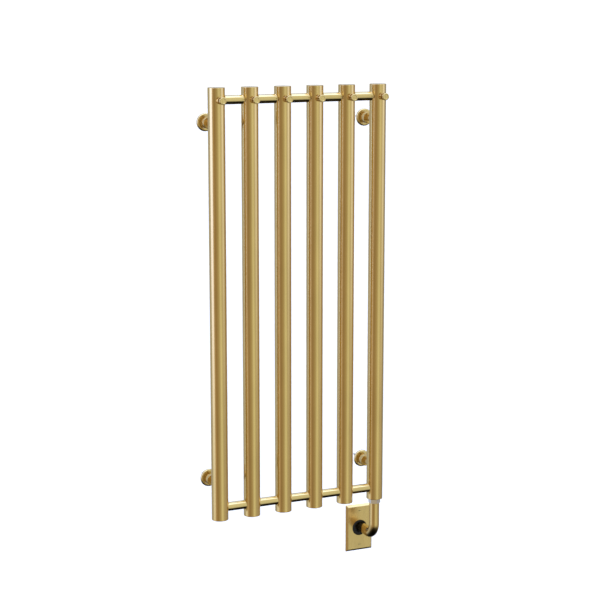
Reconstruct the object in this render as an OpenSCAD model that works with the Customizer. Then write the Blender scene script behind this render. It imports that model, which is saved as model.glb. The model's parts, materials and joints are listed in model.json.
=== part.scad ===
// Electric towel warmer rack: upright tubes joined by short bars, hung on four wall sockets,
// with a screwed-in heating element whose lead leaves through a bent cover and a wall plate.
// The origin is on the wall, in the middle of the four fixings. +X is to the right of a person
// who faces the rack, +Y goes into the wall and +Z is up.

/* [Rack] */
// Number of upright tubes
tube_count = 6; // [3:1:8]
// Distance between the axes of neighbouring tubes
tube_pitch = 78; // [60:1:110]
// Length of the upright tubes
tube_length = 968; // [600:1:1500]
// Outside diameter of the upright tubes
tube_d = 38; // [32:0.5:45]
// Wall of the upright tubes
tube_wall = 1.5; // [1:0.1:2.5]
// Thickness of the discs that close the tubes
cap_t = 3; // [2:0.5:6]
// Chamfer on the ends of the tubes
end_chamfer = 0.8; // [0.3:0.1:1]
// Distance of the tubes' axes from the wall
wall_distance = 70; // [62:1:90]
// How far the rack can be drawn away from that place
rack_travel = 6; // [0:1:8]

/* [Bars] */
// Outside diameter of the short bars
bar_d = 20; // [14:0.5:26]
// Wall of the short bars
bar_wall = 1.5; // [1:0.1:2.5]
// Distance of the bars' axes from the ends of the tubes
bar_inset = 27; // [20:1:80]

/* [Pegs] */
// Diameter of a peg's base and head
peg_d = 16; // [10:0.5:22]
// Diameter of a peg's neck
peg_neck_d = 9; // [6:0.5:9.5]
// Length of the base in front of the tube
peg_base = 10; // [4:0.5:15]
// Length of the neck
peg_neck = 6; // [4:0.5:15]
// Length of the head
peg_head = 6; // [4:0.5:15]
// Chamfer around the front of the head
peg_rim = 1.5; // [0.6:0.1:2]

/* [Stand-offs] */
// Distance of the fixings from the ends of the tubes
fixing_inset = 79; // [50:1:200]
// Width of a rosette's ring around its post
rosette_rim = 7; // [4:0.5:16]
// Thickness of the rosettes
rosette_t = 6; // [4:0.5:9]
// Diameter of the socket posts
post_d = 26; // [22:0.5:32]
// Length of the socket posts
post_length = 25; // [24:1:34]
// Floor of the socket posts, which the wall screw holds
post_floor = 6; // [5:0.5:8]
// Diameter of the studs on the rack
stud_d = 14; // [12:0.5:16]
// Room between a stud and the floor of its post
stud_room = 4; // [3:0.5:8]
// Diameter of the wall screws
wall_screw_d = 5; // [4:0.5:6]
// Depth of the wall screws in the wall
wall_screw_depth = 45; // [30:1:60]

/* [Element] */
// Diameter of the element's sheath
sheath_d = 10; // [8:0.5:12]
// Length of the sheath above the boss
sheath_length = 560; // [250:1:580]
// Diameter of the element's thread
thread_d = 20.9; // [18:0.1:22]
// Depth of the threaded boss
boss_depth = 14; // [10:0.5:20]
// How much wider the hexagon is across its flats than the cover that seats on it
hex_over = 0; // [-1:0.5:3]
// Thickness of the hexagon
hex_t = 10; // [6:0.5:14]
// Thickness of the sealing ring
seal_t = 1.5; // [1:0.1:2.5]
// Length of the shank that carries the cover
shank_length = 20; // [15:1:30]

/* [Cover] */
// Wall of the bent cover
cover_wall = 1.5; // [1:0.1:2.5]
// Radius of the bend at the middle of the tube
cover_bend_r = 30; // [20:1:36]
// Height of the horizontal leg below the tubes' ends
cover_drop = 92; // [75:1:120]
// Depth of the horizontal leg in the wall box
cover_depth = 15; // [10:1:30]

/* [Wall plate] */
// Width of the plate
plate_w = 69.85; // [60:0.05:90]
// Height of the plate
plate_h = 114.3; // [105:0.1:130]
// Depth of the plate
plate_t = 5.5; // [4.5:0.5:8]
// Width of the bevel around the plate
plate_bevel = 4.8; // [3:0.1:7]
// Height of the straight edge outside the bevel
plate_edge = 0.7; // [0.5:0.1:2]
// Thickness of the plate's sheet
plate_sheet = 1.2; // [0.8:0.1:1.6]
// Width of the gap around the cover in the plate's hole
plate_hole_gap = 7; // [6.8:0.1:9]
// Thickness of the gasket behind the plate
gasket_t = 2.5; // [1:0.5:2.5]
// Width of the gasket's plug in the mouth of the wall box
plug_w = 46; // [44:1:50]
// Height of the gasket's plug in the mouth of the wall box
plug_h = 60; // [40:1:70]
// Depth of the gasket's plug in the wall box
plug_t = 28; // [4:1:35]
// Angle that the cover may turn towards the middle of the rack, in degrees
gasket_swing = 2.5; // [1:0.5:6]
// Distance of the plate's centre from the element's axis, towards the middle of the rack
plate_offset = 6; // [0:0.5:6]
// Distance between the two screws of the plate
box_screw_span = 83.34; // [80:0.01:97]
// Diameter of the plate's screws
box_screw_d = 3.5; // [3:0.1:4]
// Depth of the plate's screws behind the wall's face
box_screw_depth = 14; // [8:1:25]

/* [Fits] */
// Clearance all around a piece that slides or turns in another
running_gap = 0.05; // [0.03:0.01:0.08]
// Clearance all around a piece that is screwed or soldered into another
fixed_gap = 0.03; // [0.02:0.01:0.05]
// Clearance all around a socket post in its rosette
rosette_gap = 0.2; // [0.15:0.05:0.5]
// Clearance all around the cover in the gasket, and around the gasket in the plate
gasket_gap = 0.5; // [0.3:0.1:1]
// Clearance all around the plate's screws in the gasket
gasket_screw_gap = 1.5; // [1.2:0.1:3]

/* [Hidden] */
$fn = 96;
eps = 1;

// Places along the rack
rack_left = -tube_pitch * (tube_count - 1) / 2;
rack_top = tube_length / 2;
bar_z = rack_top - bar_inset;
fixing_z = rack_top - fixing_inset;
axis_y = -wall_distance;
element_x = tube_x(tube_count);

// Inside sizes
tube_bore = tube_d - 2 * tube_wall;
bar_bore = bar_d - 2 * bar_wall;
cover_bore = thread_d + 2 * running_gap;
cover_d = cover_bore + 2 * cover_wall;
rosette_d = post_d + 2 * rosette_rim;
stud_depth = post_length - post_floor - stud_room;
plate_hole_d = cover_d + 2 * plate_hole_gap;

// Peg face: a shallow turned dish with a raised middle
peg_chamfer = 0.6;
peg_dish_d = 0.68 * peg_d;
peg_dish_depth = 0.5;
peg_middle_d = 0.3 * peg_d;

// Rosette: rounded rim, shallow recess next to the post
rosette_round = 0.6 * rosette_t;
rosette_recess = 1.5;
rosette_recess_w = 2;

// Grub screws
grub_d = 5;
grub_hex_af = 2.5;
grub_hex_depth = 2.5;
grub_y = -(post_length - grub_d / 2 - 2.5);
post_bore_d = stud_d + 2 * running_gap;
grub_recess = 0.8;
grub_tip_z = (post_bore_d - running_gap) / 2;
grub_length = post_d / 2 - grub_recess - grub_tip_z;
stud_end_y = -(post_length - stud_depth);
cover_grub_d = 4;
cover_grub_length = 3;
cover_grub_hex_af = 2;
cover_grub_hex_depth = 1.2;

// Wall screws: countersunk heads, flush with the floor of the socket, and a thinner plain shank
wall_screw_head_d = 2 * wall_screw_d;
wall_screw_shank_d = 0.8 * wall_screw_d;
wall_screw_hole_d = wall_screw_d + 0.4;
wall_screw_tip = 6;
cross_w = 1.1;
cross_l = 4.6;
cross_depth = 2;

// Element
boss_bore_d = thread_d + 2 * fixed_gap;
hex_af = cover_d + hex_over;
seal_d = hex_af + 1.4;
plug_bore_d = 14;
plug_web = 4;
hex_top = -rack_top - seal_t;
shank_top = hex_top - hex_t;
shank_end = shank_top - shank_length;
thread_top = -rack_top + boss_depth;
cutout_d = 9;
cutout_length = 14;
gland_flange_t = 3;
gland_spigot = 6;
gland_hole_d = 7;

// Bent cover
cover_z = -rack_top - cover_drop;
bend_top = cover_z + cover_bend_r;
bend_back_y = axis_y + cover_bend_r;
cover_grub_z = shank_top - 0.6 * shank_length;

// Wall plate
plate_x = element_x - plate_offset;
bevel_slope = plate_bevel / (plate_t - plate_edge);
hollow_t = plate_t - plate_sheet;
box_screw_head_d = 6.8;
box_screw_head_t = (box_screw_head_d - box_screw_d) / 2;
slot_w = 1.4;
slot_depth = 1.2;

SIDES = ["left", "right"];
LEVELS = ["upper", "lower"];

brass = "#c9a25c";
pale_brass = "#d2b070";
chrome = "#e4e2ea";
steel = "#b9bcc0";
dark_steel = "#4a4a4e";

// ---- places

function tube_x(i) = rack_left + (i - 1) * tube_pitch;
function side_x(side) = side == "left" ? tube_x(1) : tube_x(tube_count);
function level_z(level) = level == "upper" ? fixing_z : -fixing_z;

// Turns a piece made along +Z so that it points away from the wall
module outwards() {
    rotate([90, 0, 0]) children();
}

// Turns a piece made along +Z so that it points into the wall
module inwards() {
    rotate([-90, 0, 0]) children();
}

module at_fixing(level, side) {
    translate([side_x(side), 0, level_z(level)]) children();
}

// ---- small shapes

// Round bar along Z with a chamfer at each end
module turned(d, h, bottom, top) {
    r = d / 2;
    rotate_extrude() polygon([
        [0, 0], [r - bottom, 0], [r, bottom], [r, h - top], [r - top, h], [0, h]
    ]);
}

// Hexagon along Z, given across its flats
module hexagon(af, h) {
    cylinder(d = af / cos(30), h = h, $fn = 6);
}

// Grub screw along Z with its hexagon socket at the bottom and its cup point at the top
module grub(d, length, af, socket_depth) {
    difference() {
        turned(d, length, 0.3, 0.5);
        translate([0, 0, -eps]) hexagon(af, socket_depth + eps);
        translate([0, 0, length - 0.4]) cylinder(d1 = 0.2 * d, d2 = 0.6 * d, h = 0.41);
    }
}

// ---- upright tubes

// Holes in the wall of a tube where the bars open into it
module bar_ports(i) {
    for (z = [-bar_z, bar_z]) {
        if (i > 1) translate([-tube_d, 0, z]) rotate([0, 90, 0]) cylinder(d = bar_bore, h = tube_d);
        if (i < tube_count) translate([0, 0, z]) rotate([0, 90, 0]) cylinder(d = bar_bore, h = tube_d);
    }
}

module tube(i) {
    color(brass) translate([tube_x(i), axis_y, 0]) difference() {
        translate([0, 0, -rack_top]) turned(tube_d, tube_length, end_chamfer, end_chamfer);
        cylinder(d = tube_bore, h = tube_length + 2 * eps, center = true);
        bar_ports(i);
    }
}

// Discs at one height in the tubes from the first to the one numbered last
module caps(last, z) {
    color(brass) for (i = [1:last]) translate([tube_x(i), axis_y, z])
        cylinder(d = tube_bore - 2 * fixed_gap, h = cap_t);
}

// ---- short bars, each shaped at its ends to sit on the round tubes

module bar(i, z) {
    color(pale_brass) difference() {
        translate([tube_x(i), axis_y, z]) rotate([0, 90, 0]) cylinder(d = bar_d, h = tube_pitch);
        translate([tube_x(i) - eps, axis_y, z]) rotate([0, 90, 0])
            cylinder(d = bar_bore, h = tube_pitch + 2 * eps);
        for (k = [i, i + 1]) translate([tube_x(k), axis_y, z])
            cylinder(d = tube_d, h = 2 * bar_d, center = true);
    }
}

// ---- pegs

module peg_profile() {
    root = tube_d / 2;
    neck_start = root + peg_base;
    head_start = neck_start + peg_neck;
    face = head_start + peg_head;
    r = peg_d / 2;
    c = peg_chamfer;
    polygon([
        [0, 0], [r, 0], [r, neck_start - c], [r - c, neck_start],
        [peg_neck_d / 2, neck_start], [peg_neck_d / 2, head_start],
        [r - c, head_start], [r, head_start + c], [r, face - peg_rim], [r - peg_rim, face],
        [peg_dish_d / 2, face], [peg_dish_d / 2 - peg_dish_depth, face - peg_dish_depth],
        [peg_middle_d / 2, face - peg_dish_depth], [peg_middle_d / 2, face], [0, face]
    ]);
}

module peg(i) {
    color(pale_brass) translate([tube_x(i), axis_y, bar_z]) difference() {
        outwards() rotate_extrude() peg_profile();
        cylinder(d = tube_d, h = 2 * peg_d, center = true);
    }
}

// ---- stand-offs

module stud(level, side) {
    length = wall_distance + stud_end_y;
    color(brass) at_fixing(level, side) difference() {
        translate([0, stud_end_y, 0]) outwards() turned(stud_d, length, 0.6, 0);
        translate([0, axis_y, 0]) cylinder(d = tube_d, h = 2 * stud_d, center = true);
    }
}

module socket_post(level, side) {
    color(brass) at_fixing(level, side) difference() {
        outwards() turned(post_d, post_length, 0.2, 0.8);
        translate([0, -post_floor, 0]) outwards() cylinder(d = post_bore_d, h = post_length);
        translate([0, eps, 0]) outwards() cylinder(d = wall_screw_hole_d, h = post_length);
        translate([0, -post_floor, 0]) inwards()
            cylinder(d1 = wall_screw_head_d + 0.4, d2 = 0, h = wall_screw_head_d / 2 + 0.2);
        translate([0, grub_y, -post_d]) cylinder(d = grub_d + 2 * running_gap, h = post_d);
    }
}

module rosette_profile() {
    bore = post_d / 2 + rosette_gap;
    r = rosette_d / 2;
    difference() {
        union() {
            translate([bore, 0]) square([r - bore - rosette_round, rosette_t]);
            translate([bore, 0]) square([r - bore, rosette_t - rosette_round]);
            translate([r - rosette_round, rosette_t - rosette_round]) intersection() {
                circle(r = rosette_round);
                square(rosette_round);
            }
        }
        translate([bore - eps, rosette_t - rosette_recess]) square([rosette_recess_w + eps, rosette_t]);
    }
}

module rosette(level, side) {
    color(pale_brass) at_fixing(level, side) outwards() rotate_extrude() rosette_profile();
}

module grub_screw(level, side) {
    color(dark_steel) at_fixing(level, side) translate([0, grub_y, -grub_tip_z - grub_length])
        grub(grub_d, grub_length, grub_hex_af, grub_hex_depth);
}

// Countersunk wall screw along Z, its head's face at z = 0 and its point below
module wall_screw() {
    length = post_floor + wall_screw_depth;
    head_r = wall_screw_head_d / 2;
    shank_r = wall_screw_shank_d / 2;
    r = wall_screw_d / 2;
    difference() {
        rotate_extrude() polygon([
            [0, -length], [r, wall_screw_tip - length], [r, -post_floor],
            [shank_r, r - shank_r - post_floor], [shank_r, shank_r - head_r], [head_r, 0], [0, 0]
        ]);
        for (a = [0, 90]) rotate(a) translate([-cross_l / 2, -cross_w / 2, -cross_depth])
            cube([cross_l, cross_w, 2 * cross_depth]);
    }
}

module wall_screws() {
    color(steel) for (level = LEVELS, side = SIDES)
        at_fixing(level, side) translate([0, -post_floor, 0]) outwards() wall_screw();
}

// ---- element

module element_boss() {
    color(steel) translate([element_x, axis_y, -rack_top]) difference() {
        cylinder(d = tube_bore - 2 * fixed_gap, h = boss_depth);
        translate([0, 0, -eps]) cylinder(d = boss_bore_d, h = boss_depth + 2 * eps);
    }
}

module element_sheath() {
    top = thread_top + sheath_length;
    r = sheath_d / 2;
    color(steel) translate([element_x, axis_y, thread_top - plug_web]) {
        cylinder(d = sheath_d, h = top - thread_top + plug_web - r);
        translate([0, 0, top - thread_top + plug_web - r]) sphere(d = sheath_d);
    }
}

module element_plug() {
    sheath_hole = sheath_d + 2 * fixed_gap;
    color(chrome) translate([element_x, axis_y, 0]) difference() {
        union() {
            translate([0, 0, shank_end]) cylinder(d = thread_d, h = thread_top - shank_end);
            translate([0, 0, shank_top]) intersection() {
                hexagon(hex_af, hex_t);
                turned(hex_af / cos(30), hex_t, 1.2, 1.2);
            }
        }
        translate([0, 0, thread_top - plug_web]) cylinder(d = sheath_hole, h = plug_web + eps);
        translate([0, 0, shank_end - eps])
            cylinder(d = plug_bore_d, h = thread_top - plug_web - shank_end + eps);
    }
}

module sealing_ring() {
    color("#3a3a3a") translate([element_x, axis_y, hex_top]) difference() {
        cylinder(d = seal_d, h = seal_t);
        translate([0, 0, -eps]) cylinder(d = boss_bore_d, h = seal_t + 2 * eps);
    }
}

// Small sealed switch that sits against the lower end of the sheath
module thermal_cutout() {
    color("#d8d4c8") translate([element_x, axis_y, thread_top - plug_web - cutout_length])
        turned(cutout_d, cutout_length, 0.8, 0.8);
}

module lead_gland() {
    color("#2a2a2c") translate([element_x, axis_y, shank_end - gland_flange_t]) difference() {
        union() {
            cylinder(d = thread_d - 1, h = gland_flange_t);
            cylinder(d = plug_bore_d - 2 * fixed_gap, h = gland_flange_t + gland_spigot);
        }
        translate([0, 0, -eps]) cylinder(d = gland_hole_d, h = gland_flange_t + gland_spigot + 2 * eps);
    }
}

// ---- bent cover

// Solid bent bar that follows the cover, used for its outside and for its bore
module elbow_shape(d, over) {
    translate([0, axis_y, bend_top]) cylinder(d = d, h = shank_top - bend_top + over);
    translate([0, bend_back_y, bend_top]) rotate([0, 90, 0]) rotate([0, 0, -90]) rotate_extrude(angle = 90)
        translate([cover_bend_r, 0]) circle(d = d);
    translate([0, bend_back_y, cover_z]) inwards() cylinder(d = d, h = cover_depth - bend_back_y + over);
}

module elbow_cover() {
    color(brass) translate([element_x, 0, 0]) difference() {
        elbow_shape(cover_d, 0);
        elbow_shape(cover_bore, eps);
        translate([0, axis_y, cover_grub_z]) inwards()
            cylinder(d = cover_grub_d + 2 * running_gap, h = cover_d);
    }
}

module elbow_grub_screw() {
    face_y = axis_y + cover_bore / 2 + cover_grub_length;
    color(dark_steel) translate([element_x, face_y, cover_grub_z]) outwards()
        grub(cover_grub_d, cover_grub_length, cover_grub_hex_af, cover_grub_hex_depth);
}

// ---- wall plate

// Symmetric outline from the points of its right half, from the wall to the front
function mirrored(points) = concat(points, [for (i = [len(points) - 1:-1:0]) [-points[i][0], points[i][1]]]);

// Right half of the plate's outline, given its half width
function plate_half(a) = [[a, 0], [a, -plate_edge], [a - plate_bevel, -plate_t]];

// Half width of the hollow behind it at the wall, one sheet's thickness inside the bevel
function hollow_back(a) = a + bevel_slope * plate_edge - plate_sheet * norm([1, bevel_slope]);

// Right half of the hollow's outline
function hollow_half(a) = let (back = hollow_back(a))
    [[back, eps], [back, 0], [back - bevel_slope * hollow_t, -hollow_t]];

// Half width of the gasket in it
function pad_half(a) = hollow_back(a) - bevel_slope * gasket_t - gasket_gap;

// Block with one outline across and another upright
module bevelled_block(across, upright) {
    intersection() {
        linear_extrude(2 * plate_h, center = true) polygon(mirrored(across));
        rotate([0, -90, 0]) linear_extrude(2 * plate_w, center = true) polygon(mirrored(upright));
    }
}

module wall_plate() {
    color(brass) translate([plate_x, 0, cover_z]) difference() {
        bevelled_block(plate_half(plate_w / 2), plate_half(plate_h / 2));
        bevelled_block(hollow_half(plate_w / 2), hollow_half(plate_h / 2));
        translate([0, eps, 0]) outwards() cylinder(d = plate_hole_d, h = plate_t + 2 * eps);
        for (side = [-1, 1]) translate([0, -plate_t, side * box_screw_span / 2]) {
            inwards() cylinder(d = box_screw_d + 0.4, h = plate_t);
            inwards() cylinder(d1 = box_screw_head_d + 0.2, d2 = box_screw_d + 0.2, h = box_screw_head_t);
        }
    }
}

// Foam pad in the hollow of the plate and foam plug behind it in the mouth of the wall box. A slot
// through both lets the cover's leg swing towards the middle.
module plate_gasket() {
    swing = (wall_distance + rack_travel + plug_t) * tan(gasket_swing);
    play = cover_d + 2 * gasket_gap;
    depth = gasket_t + plug_t;
    color("#1e1e20") translate([plate_x, 0, cover_z]) difference() {
        union() {
            translate([0, -gasket_t / 2, 0])
                cube([2 * pad_half(plate_w / 2), gasket_t, 2 * pad_half(plate_h / 2)], center = true);
            translate([-plug_w / 2, -gasket_t / 2, -plug_h / 2]) cube([plug_w, gasket_t / 2 + plug_t, plug_h]);
        }
        translate([plate_offset, plug_t + eps, 0]) outwards() linear_extrude(depth + 2 * eps) union() {
            circle(d = play);
            translate([-swing, 0]) circle(d = play);
            translate([-swing, -play / 2]) square([swing, play]);
        }
        for (side = [-1, 1]) translate([0, eps, side * box_screw_span / 2]) outwards()
            cylinder(d = box_screw_d + 2 * gasket_screw_gap, h = gasket_t + 2 * eps);
    }
}

module plate_screws() {
    length = plate_t + box_screw_depth;
    r = box_screw_d / 2;
    color(pale_brass) for (side = [-1, 1])
        translate([plate_x, -plate_t, cover_z + side * box_screw_span / 2]) outwards() difference() {
            rotate_extrude() polygon([
                [0, -length], [r - 0.5, -length], [r, 0.5 - length], [r, -box_screw_head_t],
                [box_screw_head_d / 2, 0], [0, 0]
            ]);
            translate([-box_screw_head_d, -slot_w / 2, -slot_depth])
                cube([2 * box_screw_head_d, slot_w, 2 * slot_depth]);
        }
}

// ---- the pieces by name

for (i = [1:tube_count]) tube(i);
caps(tube_count, rack_top - cap_t);  // top_caps
caps(tube_count - 1, -rack_top);  // bottom_caps
for (i = [1:tube_count - 1]) {
    bar(i, bar_z);
    bar(i, -bar_z);
}
for (i = [1:tube_count]) peg(i);
for (v = LEVELS, s = SIDES) {
    stud(v, s);
    socket_post(v, s);
    rosette(v, s);
    grub_screw(v, s);
}
wall_screws();
element_boss();
element_sheath();
element_plug();
sealing_ring();
thermal_cutout();
lead_gland();
elbow_cover();
elbow_grub_screw();
wall_plate();
plate_gasket();
plate_screws();
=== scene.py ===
"""Electric towel warmer rack in satin brass.

Six upright tubes joined by short bars hang on four wall sockets. Each tube has a turned peg, and the
right-hand tube takes a heating element whose lead leaves through a bent cover and a wall plate.
Each piece stands for the CAD part of the same place and size, in metres, with +Z up and +Y into the wall.
"""

import json
import math

import bmesh
import bpy
from bpy.props import FloatProperty, FloatVectorProperty, IntProperty, PointerProperty
from bpy.types import Operator, Panel, PropertyGroup
from mathutils import Matrix, Vector


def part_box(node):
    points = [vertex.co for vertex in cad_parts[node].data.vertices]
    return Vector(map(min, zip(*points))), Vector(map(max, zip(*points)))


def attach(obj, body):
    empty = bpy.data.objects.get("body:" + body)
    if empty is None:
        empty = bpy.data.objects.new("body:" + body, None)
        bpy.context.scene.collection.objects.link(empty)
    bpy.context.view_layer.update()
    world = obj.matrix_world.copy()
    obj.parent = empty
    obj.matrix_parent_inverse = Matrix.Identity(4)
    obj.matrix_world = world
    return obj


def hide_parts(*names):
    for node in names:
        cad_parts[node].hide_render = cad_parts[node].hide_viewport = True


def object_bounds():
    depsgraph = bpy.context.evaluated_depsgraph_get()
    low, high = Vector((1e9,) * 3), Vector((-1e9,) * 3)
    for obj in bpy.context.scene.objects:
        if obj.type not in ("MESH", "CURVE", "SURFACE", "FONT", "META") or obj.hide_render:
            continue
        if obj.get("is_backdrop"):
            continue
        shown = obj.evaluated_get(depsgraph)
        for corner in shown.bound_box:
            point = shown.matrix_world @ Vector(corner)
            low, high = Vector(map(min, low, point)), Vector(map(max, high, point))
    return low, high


bl_info = {
    "name": "Towel Warmer Rack",
    "version": (1, 0, 0),
    "blender": (4, 5, 0),
    "location": "3D View > Sidebar > Rack",
    "description": "Wall-hung towel warmer with upright tubes, pegs, stand-offs, element, cover and plate",
    "category": "Object",
}

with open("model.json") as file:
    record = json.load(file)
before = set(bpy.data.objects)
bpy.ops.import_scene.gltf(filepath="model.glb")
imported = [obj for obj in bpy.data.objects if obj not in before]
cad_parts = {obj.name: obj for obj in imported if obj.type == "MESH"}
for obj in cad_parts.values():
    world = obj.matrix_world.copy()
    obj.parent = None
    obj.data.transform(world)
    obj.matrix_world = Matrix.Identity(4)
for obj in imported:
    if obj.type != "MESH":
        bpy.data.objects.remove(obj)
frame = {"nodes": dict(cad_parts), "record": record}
MM = 0.001
# How far a joined piece stands off its neighbour, and how near counts as level
HAIR = 0.01 * MM
LEVELS = ("upper", "lower")
SIDES = ("left", "right")

# Directions in which a piece made along its own Z is turned
UP = Matrix.Identity(4)
OUT = Matrix.Rotation(math.radians(90), 4, "X")
INTO_WALL = Matrix.Rotation(math.radians(-90), 4, "X")
ACROSS = Matrix.Rotation(math.radians(90), 4, "Y")
DOWN = Matrix.Rotation(math.radians(180), 4, "X")


def size_of(node):
    low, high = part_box(node)
    return high - low


def middle_of(node):
    low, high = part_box(node)
    return (low + high) / 2


def numbered(stem):
    """CAD parts called stem_1, stem_2 and so on."""
    found = []
    while f"{stem}_{len(found) + 1}" in frame["nodes"]:
        found.append(f"{stem}_{len(found) + 1}")
    return found


TUBE_D = size_of("tube_1").x
PITCH = middle_of("tube_2").x - middle_of("tube_1").x
BAR_D = size_of("top_bar_1").z
PEG_D = size_of("peg_1").x
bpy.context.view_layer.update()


# ---- sizes and colours that a user would change


class RackSizes(PropertyGroup):
    """Sizes of the finish on each piece"""

    steps: IntProperty(
        name="Round steps", description="Steps around the uprights", default=96, min=24, max=256
    )
    wall: FloatProperty(
        name="Tube wall", description="Wall of the uprights and of the short bars",
        default=1.5 * MM, min=0.5 * MM, max=3 * MM, unit="LENGTH", precision=5,
    )
    rim: FloatProperty(
        name="Tube rim", description="Rounding of the uprights' ends",
        default=0.8 * MM, min=0.1 * MM, max=1.4 * MM, unit="LENGTH", precision=5,
    )
    braze: FloatProperty(
        name="Braze fillet", description="Fillet where a short bar joins its uprights",
        default=0.9 * MM, min=0.1 * MM, max=2 * MM, unit="LENGTH", precision=5,
    )
    peg_base: FloatProperty(
        name="Peg base", description="Length of a peg's base in front of its upright",
        default=10 * MM, min=2 * MM, max=20 * MM, unit="LENGTH", precision=5,
    )
    peg_neck: FloatProperty(
        name="Peg neck", description="Length of a peg's neck",
        default=6 * MM, min=2 * MM, max=20 * MM, unit="LENGTH", precision=5,
    )
    peg_neck_d: FloatProperty(
        name="Peg neck diameter", description="Diameter of a peg's neck",
        default=9 * MM, min=4 * MM, max=14 * MM, unit="LENGTH", precision=5,
    )
    cover_wall: FloatProperty(
        name="Cover wall", description="Wall of the bent cover",
        default=1.5 * MM, min=0.8 * MM, max=2 * MM, unit="LENGTH", precision=5,
    )
    cover_bend: FloatProperty(
        name="Cover bend", description="Radius of the cover's bend at the middle of the tube",
        default=30 * MM, min=15 * MM, max=50 * MM, unit="LENGTH", precision=5,
    )
    plate_bevel: FloatProperty(
        name="Plate bevel", description="Width of the bevel around the wall plate",
        default=4.8 * MM, min=1 * MM, max=10 * MM, unit="LENGTH", precision=5,
    )
    plate_edge: FloatProperty(
        name="Plate edge", description="Height of the straight edge outside the bevel",
        default=0.7 * MM, min=0.2 * MM, max=3 * MM, unit="LENGTH", precision=5,
    )
    plate_sheet: FloatProperty(
        name="Plate sheet", description="Thickness of the wall plate's sheet",
        default=1.2 * MM, min=0.5 * MM, max=2 * MM, unit="LENGTH", precision=5,
    )
    plate_hole: FloatProperty(
        name="Plate hole", description="Diameter of the hole that the cover goes through",
        default=38 * MM, min=20 * MM, max=50 * MM, unit="LENGTH", precision=5,
    )
    pad_slot: FloatProperty(
        name="Pad slot", description="How far the cover can swing in the slot of the foam pad",
        default=4.54 * MM, min=0, max=10 * MM, unit="LENGTH", precision=5,
    )
    # the plug is painted shade: a near-black block for the shaded hollow in the wall
    shade_plug_width: FloatProperty(
        name="Plug width", description="Width of the foam pad's plug in the wall",
        default=46 * MM, min=40 * MM, max=50 * MM, unit="LENGTH", precision=5,
    )
    shade_plug_height: FloatProperty(
        name="Plug height", description="Height of the foam pad's plug in the wall",
        default=60 * MM, min=40 * MM, max=70 * MM, unit="LENGTH", precision=5,
    )
    peg_rim: FloatProperty(
        name="Peg rim", description="Rounding around the front of a peg's head",
        default=1.5 * MM, min=0.6 * MM, max=2 * MM, unit="LENGTH", precision=5,
    )


class RackFinish(PropertyGroup):
    """Colours and gloss of the metals"""

    brass: FloatVectorProperty(
        name="Satin brass", description="Colour of the uprights, posts, studs and cover",
        subtype="COLOR", size=3, min=0, max=1, default=(0.74, 0.555, 0.25),
    )
    bright_brass: FloatVectorProperty(
        name="Bright brass", description="Colour of the bars, pegs, rosettes and plate screws",
        subtype="COLOR", size=3, min=0, max=1, default=(0.76, 0.60, 0.30),
    )
    sheet_brass: FloatVectorProperty(
        name="Sheet brass", description="Colour of the wall plate",
        subtype="COLOR", size=3, min=0, max=1, default=(0.72, 0.55, 0.26),
    )
    chrome: FloatVectorProperty(
        name="Chrome", description="Colour of the element's hexagon",
        subtype="COLOR", size=3, min=0, max=1, default=(0.90, 0.88, 0.92),
    )
    tube_gloss: FloatProperty(
        name="Tube roughness", description="Roughness of the satin tubes",
        default=0.13, min=0.02, max=0.6, subtype="FACTOR",
    )
    turned_gloss: FloatProperty(
        name="Turned roughness", description="Roughness of the turned pieces",
        default=0.14, min=0.02, max=0.6, subtype="FACTOR",
    )


class RackStage(PropertyGroup):
    """Camera and light"""

    camera_place: FloatVectorProperty(
        name="Camera", description="Place of the camera", subtype="TRANSLATION", size=3,
        unit="LENGTH", default=(-1.4784, -3.3464, 0.6696),
    )
    camera_turn: FloatProperty(
        name="Turn", description="How far the camera looks to the right of the wall's normal",
        subtype="ANGLE", default=math.radians(24.328),
    )
    camera_tilt: FloatProperty(
        name="Tilt", description="How far the camera looks down",
        subtype="ANGLE", default=math.radians(10.484),
    )
    lens: FloatProperty(
        name="Lens", description="Focal length on a 36 mm sensor",
        default=97.37, min=10, max=300, unit="CAMERA",
    )
    floor_drop: FloatProperty(
        name="Floor", description="Distance of the floor below the rack's lowest point",
        default=0.6, min=0, max=2, unit="LENGTH",
    )
    brightness: FloatProperty(
        name="Brightness", description="Strength of the studio light", default=1.0, min=0, max=10
    )


# ---- making meshes


def chain(bm, points, closed):
    """Edges through (radius, height) points, in the plane y = 0."""
    verts = [bm.verts.new((r, 0, h)) for r, h in points]
    edges = [bm.edges.new(pair) for pair in zip(verts, verts[1:])]
    if closed:
        edges.append(bm.edges.new((verts[-1], verts[0])))
    return verts + edges


def turned(points, steps=64):
    """Piece of revolution about Z. Points that start off the axis make a ring."""
    bm = bmesh.new()
    geom = chain(bm, points, closed=points[0][0] > 0)
    bmesh.ops.spin(
        bm, geom=geom, cent=(0, 0, 0), axis=(0, 0, 1), angle=2 * math.pi, steps=steps, use_merge=True
    )
    bmesh.ops.remove_doubles(bm, verts=bm.verts, dist=1e-6)
    bmesh.ops.recalc_face_normals(bm, faces=bm.faces)
    return bm


def rod(r, low, high, steps=64):
    """Plain round bar or drill along Z."""
    return turned([(0, low), (r, low), (r, high), (0, high)], steps)


def soften(bm, width, segments=3, least=30, where=None):
    """Rounds each edge that turns by more than least degrees."""
    edges = [
        e for e in bm.edges
        if len(e.link_faces) == 2 and e.calc_face_angle(0) > math.radians(least)
        and (where is None or where(e))
    ]
    bmesh.ops.bevel(
        bm, geom=edges, offset=width, offset_type="OFFSET", segments=segments, profile=0.5,
        affect="EDGES", clamp_overlap=True, material=-1,
    )
    return bm


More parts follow.
